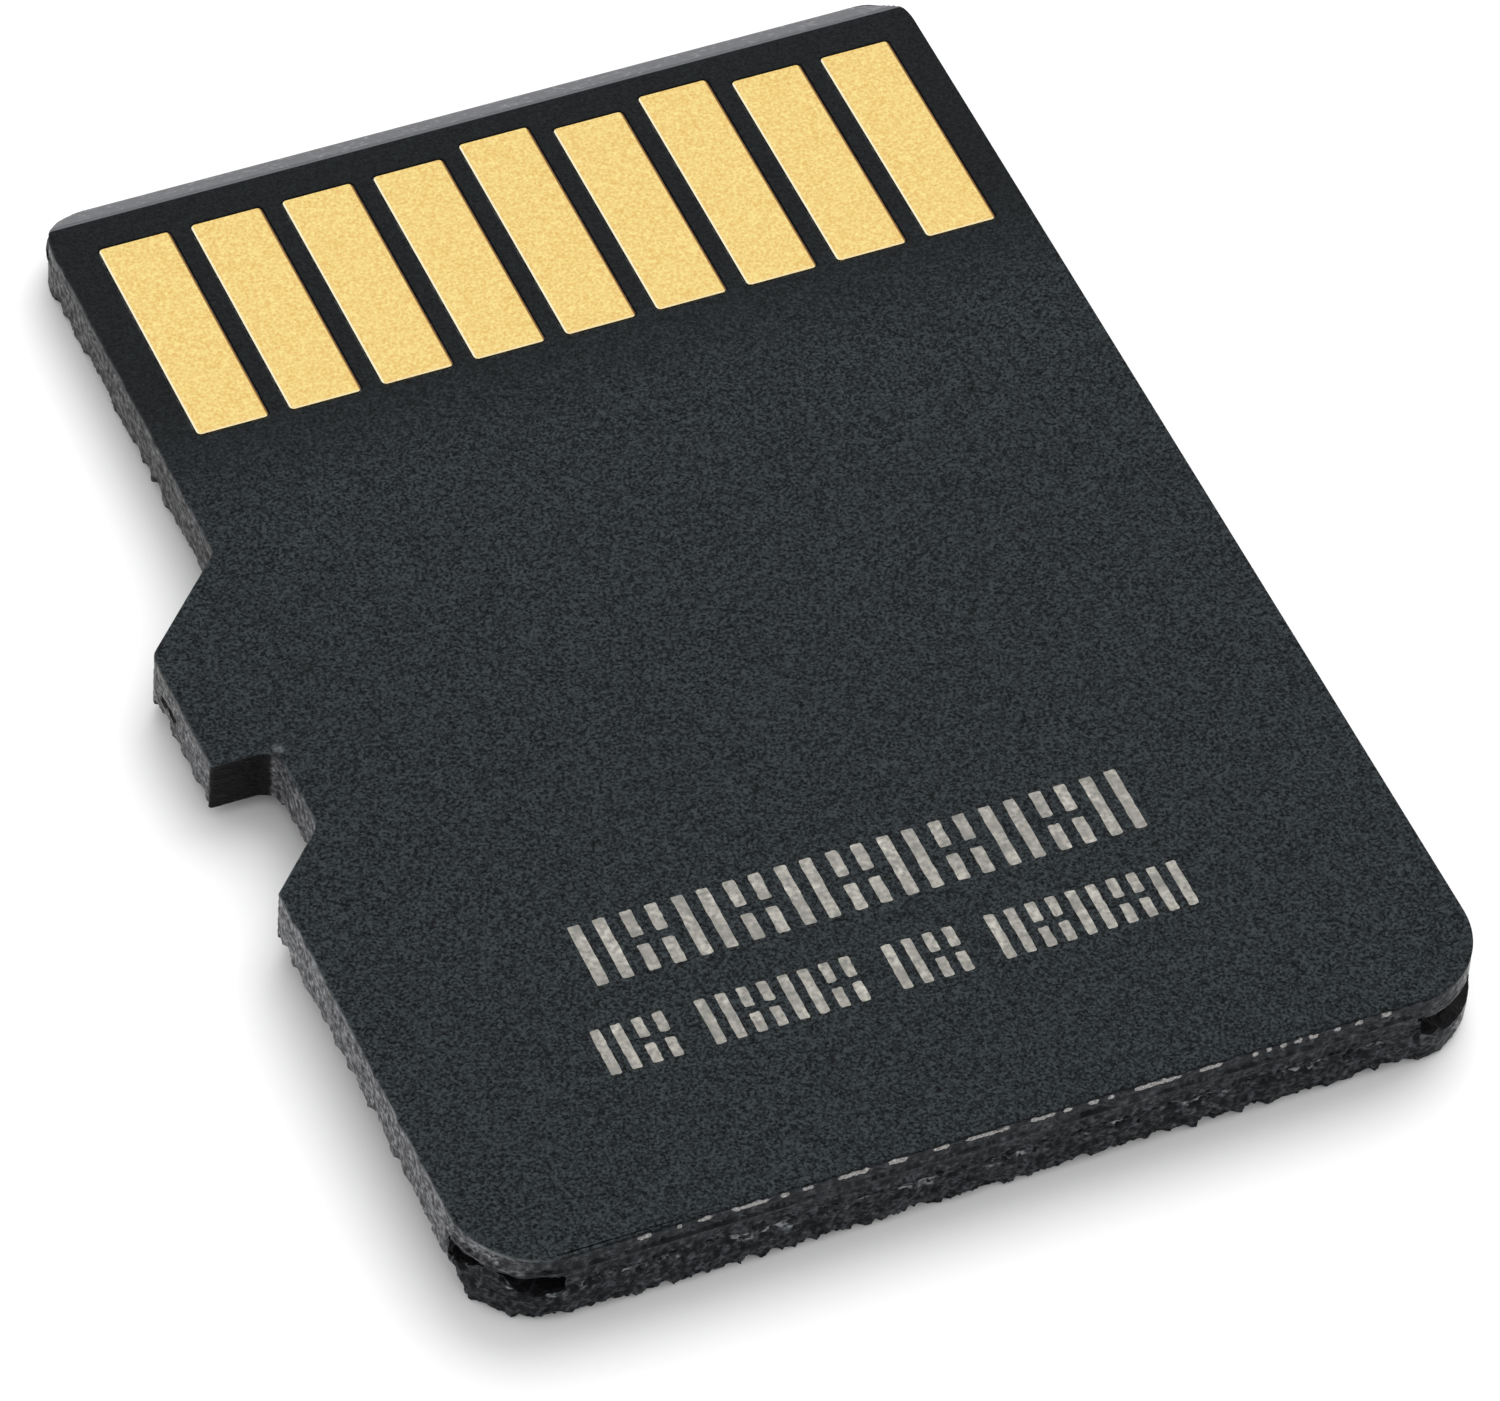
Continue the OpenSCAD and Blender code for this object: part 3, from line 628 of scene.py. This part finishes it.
reach = (RIDGE_RADIUS + RIDGE_LEAN * ridge_levels / LABEL_Z)[:, None]
arc = np.stack(np.broadcast_arrays(
    arc_x, arc_middle + np.sqrt(reach ** 2 - arc_x ** 2), ridge_levels[:, None]), -1)
slab(np.concatenate([side, arc], 1), body_points, body_faces)

moulding, tree, shader = finish("torn_epoxy", roughness=0.5)
sawn_shader(tree, shader, -0.7, 0.75)
make_piece("torn_moulding", body_points, body_faces, moulding, ["moulded_body"])

# Outer solder mask
# Matt black resin printed over the board, with a window for each contact. It
# stops short of the grip edge, and its rims are a little round.
MASK_TOP = FACE_Z - 0.0015
MASK_SETBACK, WINDOW_GAP, WINDOW_RADIUS = 0.03, 0.02, 0.07
OUTER_RIM = [
    (0.0, BOARD_TOP), (0.0, FACE_Z - 0.014), (0.003, FACE_Z - 0.007), (0.008, FACE_Z - 0.003),
    (0.014, MASK_TOP), (0.03, MASK_TOP)]
WINDOW_RIM = [
    (0.0, BOARD_TOP), (0.0, FACE_Z - 0.012), (-0.003, FACE_Z - 0.0055),
    (-0.008, FACE_Z - 0.0025), (-0.013, MASK_TOP), (-0.03, MASK_TOP)]


def rounded_box(x0, x1, y0, y1, radius, turns=8):
    """A rounded rectangle, counter-clockwise, with its inward normals."""
    t = np.linspace(0, math.pi / 2, turns + 1)
    quarter = np.stack([np.cos(t), np.sin(t)], 1)
    west, east, south, north = x0 + radius, x1 - radius, y0 + radius, y1 - radius
    points, out = [], []
    for k, middle in enumerate([(east, south), (east, north), (west, north), (west, south)]):
        a = (k - 1) * math.pi / 2
        spun = quarter @ np.array([[math.cos(a), math.sin(a)], [-math.sin(a), math.cos(a)]])
        points.append(np.array(middle) + radius * spun)
        out.append(spun)
    return np.concatenate(points), -np.concatenate(out)


def rim_rings(flat, normals, profile):
    """The loop carried up a rim profile of offsets along the normals and heights."""
    return np.stack([
        np.concatenate([flat + normals * offset, np.full((len(flat), 1), height)], 1)
        for offset, height in profile])


outer = rim_rings(*card_outline(BOARD_RADIUS, BOARD_RADIUS)[:2], OUTER_RIM)
ragged = 0.008 * lattice_noise(outer, 0.05, 21) + 0.006 * lattice_noise(outer, 0.15, 22)
setback = MASK_SETBACK + ragged + np.array([offset for offset, height in OUTER_RIM])[:, None]
outer[..., 1] = np.maximum(outer[..., 1], REAR + setback)
outer = cut_bevel(outer)
stacks, firsts, mask_faces = [outer], [0], wall_faces(*outer.shape[:2])
for name in CONTACTS:
    low, high = (np.array(corner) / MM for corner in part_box(name))
    loop, inward = rounded_box(
        low[0] - WINDOW_GAP, high[0] + WINDOW_GAP, low[1] - WINDOW_GAP, high[1] + WINDOW_GAP,
        WINDOW_RADIUS)
    rings = rim_rings(loop, inward, WINDOW_RIM)[:, ::-1]
    firsts.append(sum(stack.shape[0] * stack.shape[1] for stack in stacks))
    mask_faces += wall_faces(*rings.shape[:2], firsts[-1])
    stacks.append(rings)
tops = [first + (len(stack) - 1) * stack.shape[1] for first, stack in zip(firsts, stacks)]
mask_faces += cap_faces([stack[-1] for stack in stacks], tops, True)
mask_faces += cap_faces([stack[0] for stack in stacks], firsts, False)
mask_points = [stack.reshape(-1, 3) for stack in stacks]

coat, tree, shader = finish("matt_black_coat", roughness=0.6)
smooth_end = level(tree, Y_AXIS, 2.4, 4.6)
cells = add(tree, "ShaderNodeTexVoronoi", {"Vector": object_place(tree), "Scale": 1 / (0.024 * MM)})
speck = add(tree, "ShaderNodeSeparateColor", {0: cells.outputs["Color"]}).outputs[0]
low_speck, high_speck = spread(tree, smooth_end, 0.35, 0.6), spread(tree, smooth_end, 1.65, 1.2)
coarse = grain(tree, 0.031, spread(tree, smooth_end, 2.7, 1.6))
sand = both(tree, coarse, spread(tree, speck, low_speck, high_speck))
colour = blend_colour(tree, sand, (0.0008, 0.0011, 0.0013), (0.035, 0.0425, 0.0465))
colour = blend_colour(tree, both(tree, grain(tree, 1.6, 1.4), 0.1), colour, (0.011, 0.013, 0.013))
colour = blend_colour(tree, both(tree, smooth_end, 0.6), colour, (0.0025, 0.0025, 0.003))

# The mask's rim on the notched side is painted with a highlight where it faces that way,
# most of all behind the notch, and a small pale fleck is painted at the notch's inner corner.
sideways = add(tree, "ShaderNodeVectorMath", {
    0: surface_normal(tree), 1: (-1.0, -0.2, 0.0)}, operation="DOT_PRODUCT").outputs["Value"]
rim_highlight_and_fleck = both(tree, either(tree, sideways, 0.0), opposite(tree, level(tree, X_AXIS, -4.3, -4.2)))
rim_highlight_and_fleck = both(tree, rim_highlight_and_fleck, grain(tree, 0.2, 2.6))
rim_highlight_and_fleck = both(tree, rim_highlight_and_fleck, spread(tree, level(tree, Y_AXIS, -1.6, NOTCH_Y), 1.0, 0.35))
corner_fleck = both(
    tree, within(tree, X_AXIS, (NOTCH_X - 0.06, NOTCH_X), (NOTCH_X + 0.03, NOTCH_X + 0.09)),
    within(tree, Y_AXIS, (NOTCH_Y - 0.1, NOTCH_Y - 0.04), (NOTCH_Y, NOTCH_Y + 0.08)))
corner_fleck = both(tree, corner_fleck, spread(tree, grain(tree, 0.05, 2.6), 0.0, 0.5))
rim_highlight_and_fleck = either(tree, rim_highlight_and_fleck, corner_fleck)
# The bevel at the contact edge is painted paler, as a painted reflection of the bright
# surroundings.
bevel_sheen = level(tree, Y_AXIS, FRONT - BEVEL_LENGTH - 0.004, FRONT - BEVEL_LENGTH + 0.004)
colour = blend_colour(tree, bevel_sheen, colour, (0.04, 0.042, 0.05))
# Paints the rim's highlight and the corner fleck a pale grey.
paint(tree, shader, rim_highlight_and_fleck, colour, (0.2, 0.21, 0.22))
gloss = either(tree, spread(tree, rim_highlight_and_fleck, 0.08, 0.6), spread(tree, bevel_sheen, 0.0, 0.6))
glaze(tree, shader, gloss, 0.08)
relief(tree, shader, sand, 0.004)
make_piece("window_mask", mask_points, mask_faces, coat, ["outer_solder_mask"])

# Cut ends of the plating traces
# The copper lines that fed the plating bath run out at the grip edge. The saw
# smears each end into a bright ragged burr.
# Each pair is a burr's middle, from the notched side, and its width.
BURRS = [
    (1.69, 0.16), (2.06, 0.06), (2.33, 0.16), (2.81, 0.43), (3.18, 0.10), (3.42, 0.13),
    (3.92, 0.39), (4.38, 0.23), (4.85, 0.18), (5.36, 0.51), (5.94, 0.28), (6.21, 0.10),
    (6.49, 0.12), (6.68, 0.08), (7.18, 0.55), (7.76, 0.28), (8.25, 0.07), (8.40, 0.07),
    (8.56, 0.08), (8.72, 0.10), (8.89, 0.11), (9.15, 0.08), (9.39, 0.11), (9.69, 0.13)]


def burr(middle, width):
    """One burr: a seven-sided section carried along X, uneven in depth and drop, that
    shrinks to almost nothing at both ends by a sixth power."""
    count = max(7, round(width / 0.012))
    u = np.linspace(-1, 1, count)
    x = middle + u * width / 2
    still = np.zeros(count)
    spot = np.stack([x, still + REAR, still + BOARD_TOP], 1)
    a, b = lattice_noise(spot, 0.05, 31), lattice_noise(spot + 3.3, 0.03, 32)
    deep = 0.02 + 0.01 * a
    drop = 0.03 + 0.014 * b
    top = BOARD_TOP + 0.008 + 0.008 * a
    section = np.stack([
        np.stack([deep, still + BOARD_TOP - 0.01], 1), np.stack([deep, top - 0.004], 1),
        np.stack([deep * 0.5, top], 1), np.stack([still + 0.004, top - 0.003], 1),
        np.stack([still, top - 0.01], 1), np.stack([still, BOARD_TOP - 0.005 - drop], 1),
        np.stack([still + 0.008, BOARD_TOP - 0.008 - drop], 1)], 1)
    heart = section.mean(1, keepdims=True)
    section = heart + (section - heart) * np.clip(1.02 - u ** 6, 0.02, 1)[:, None, None]
    across = np.broadcast_to(x[:, None, None], (*section.shape[:2], 1))
    ring = np.concatenate([across, section + [REAR, 0]], -1)
    return ring[:, ::-1]


def capped_tube(rings, points, faces):
    """Adds the rings' wall with one flat face at each end to the points and faces."""
    rows, columns = rings.shape[:2]
    first = sum(len(part) for part in points)
    last = first + (rows - 1) * columns
    faces += wall_faces(rows, columns, first)
    faces.append(list(range(first, first + columns))[::-1])
    faces.append(list(range(last, last + columns)))
    points.append(rings.reshape(-1, 3))


burr_points, burr_faces = [], []
for place, width in BURRS:
    capped_tube(burr(LEFT + place, width), burr_points, burr_faces)
smeared, tree, shader = finish("smeared_copper_tin", roughness=0.35, metallic=0.7)
paint(tree, shader, grain(tree, 0.03, 2.0), (0.08, 0.08, 0.08), (0.43, 0.42, 0.41))
make_piece("trace_burrs", burr_points, burr_faces, smeared, ["plating_trace_ends"])

# Printed marks
# Two lines of pad-printed pale ink near the grip end, worn and mottled. Each mark
# is a pair of upright bars, every second pair broken, that spell nothing.
INK_LOW, INK_TOP = FACE_Z - 0.002, FACE_Z - 0.0005


def ink_bar(x0, x1, y0, y1, seed):
    """A bar with round corners and an outline worn uneven by noise, as two rings."""
    loop = rounded_box(x0, x1, y0, y1, 0.02, 3)[0]
    cut = np.concatenate([
        np.linspace(a, b, 9)[:-1] for a, b in zip(loop, np.roll(loop, -1, 0))])
    spot = np.concatenate([cut, np.full((len(cut), 1), seed)], 1)
    along = np.roll(cut, -1, 0) - np.roll(cut, 1, 0)
    along /= np.maximum(np.linalg.norm(along, axis=1), 1e-9)[:, None]
    worn = (0.006 * lattice_noise(spot, 0.04, 41))[:, None]
    cut = cut + np.stack([-along[:, 1], along[:, 0]], 1) * worn
    return np.stack([
        np.concatenate([cut, np.full((len(cut), 1), h)], 1) for h in (INK_LOW, INK_TOP)])


def mark_bars(x0, y0, width, height, stroke, broken):
    """The two upright bars of one mark, whole or broken in the middle, as x0, x1, y0, y1."""
    spans = [(0.0, 0.43), (0.57, 1.0)] if broken else [(0.0, 1.0)]
    return [
        (x, x + stroke, y0 + height * low, y0 + height * high)
        for x in (x0, x0 + width - stroke) for low, high in spans]


bars = []
for k in range(11):
    bars += mark_bars(LEFT + 2.5 + k * 0.56, REAR + 3.07, 0.4, 0.81, 0.13, k % 2)
x = LEFT + 2.18
for group in (2, 4, 2, 5):
    for k in range(group):
        bars += mark_bars(x, REAR + 1.96, 0.33, 0.6, 0.11, k % 2)
        x += 0.445
    x += 0.235
ink_points, ink_faces = [], []
for seed, bar in enumerate(bars):
    capped_tube(ink_bar(*bar, seed), ink_points, ink_faces)
ink, tree, shader = finish("worn_pale_ink", roughness=0.6, specular=0.3)
wear = both(tree, grain(tree, 0.06, 2.2), grain(tree, 0.22, 1.8))
paint(tree, shader, wear, (0.17, 0.165, 0.15), (0.55, 0.53, 0.47))
make_piece("printed_marks", ink_points, ink_faces, ink)

# Floor
# A plain pale sheet that the card lies on. The card leans on its ridge and its
# contact edge, so the sheet is tilted a little under the untilted card.
SHEET_HALF, SHEET_SLOPE, SHEET_TOUCH_Y = 3.0, 0.0228, -5.76
ground = bpy.data.meshes.new("floor")
sheet = [(-SHEET_HALF, -SHEET_HALF), (SHEET_HALF, -SHEET_HALF), (SHEET_HALF, SHEET_HALF),
         (-SHEET_HALF, SHEET_HALF)]
ground.from_pydata(
    [(x, y, (y - SHEET_TOUCH_Y * MM) * SHEET_SLOPE) for x, y in sheet], [], [(0, 1, 2, 3)])
paper, tree, shader = finish("pale_sheet", roughness=0.9, specular=0.1)
shader.inputs["Base Color"].default_value = (0.93, 0.93, 0.93, 1.0)
ground.materials.append(paper)
floor = bpy.data.objects.new("floor", ground)
bpy.context.scene.collection.objects.link(floor)

# Light
# White surroundings, with one broad soft lamp high on the plain side, which drops
# a soft shadow past the notched side and the grip edge.
world = bpy.data.worlds.new("white_surroundings")
world.use_nodes = True
bpy.context.scene.world = world
tree = world.node_tree
background = tree.nodes["Background"]
background.inputs["Color"].default_value = (1, 1, 1, 1)
path = add(tree, "ShaderNodeLightPath")
seen = either(tree, path.outputs["Is Camera Ray"], path.outputs["Is Glossy Ray"])
seen = either(tree, seen, path.outputs["Is Transmission Ray"])
tree.links.new(spread(tree, seen, 0.9, 1.0), background.inputs["Strength"])

lamp = bpy.data.lights.new("soft_lamp", "AREA")
lamp.shape = "DISK"
lamp.size = 0.26
lamp.energy = 0.47
lamp_object = bpy.data.objects.new("soft_lamp", lamp)
toward = Vector((0.42, 0.5, 0.76)).normalized()
lamp_object.location = toward * 0.25
lamp_object.rotation_euler = toward.to_track_quat("Z", "Y").to_euler()
lamp_object.visible_glossy = False
bpy.context.scene.collection.objects.link(lamp_object)

# Camera
# A long lens close above the grip end, turned to the photograph's angle.
# It stands on the line of sight through a point near the card's middle.
AZIMUTH, ELEVATION, ROLL = math.radians(-27.352), math.radians(47.879), math.radians(5.107)
DISTANCE = 112.598
aim = Vector((-0.077, -1.482, FACE_Z)) * MM
back = Vector((
    math.sin(AZIMUTH) * math.cos(ELEVATION), -math.cos(AZIMUTH) * math.cos(ELEVATION),
    math.sin(ELEVATION)))
camera = bpy.data.cameras.new("camera")
camera.sensor_width = 36
camera.lens = 267.57
camera.clip_start = 0.005
camera.clip_end = 20
camera_object = bpy.data.objects.new("camera", camera)
camera_object.location = aim + back * DISTANCE * MM
turn = back.to_track_quat("Z", "Y") @ Quaternion((0, 0, 1), ROLL)
camera_object.rotation_euler = turn.to_euler()
bpy.context.scene.collection.objects.link(camera_object)
bpy.context.scene.camera = camera_object
bpy.context.scene.view_settings.view_transform = "Standard"
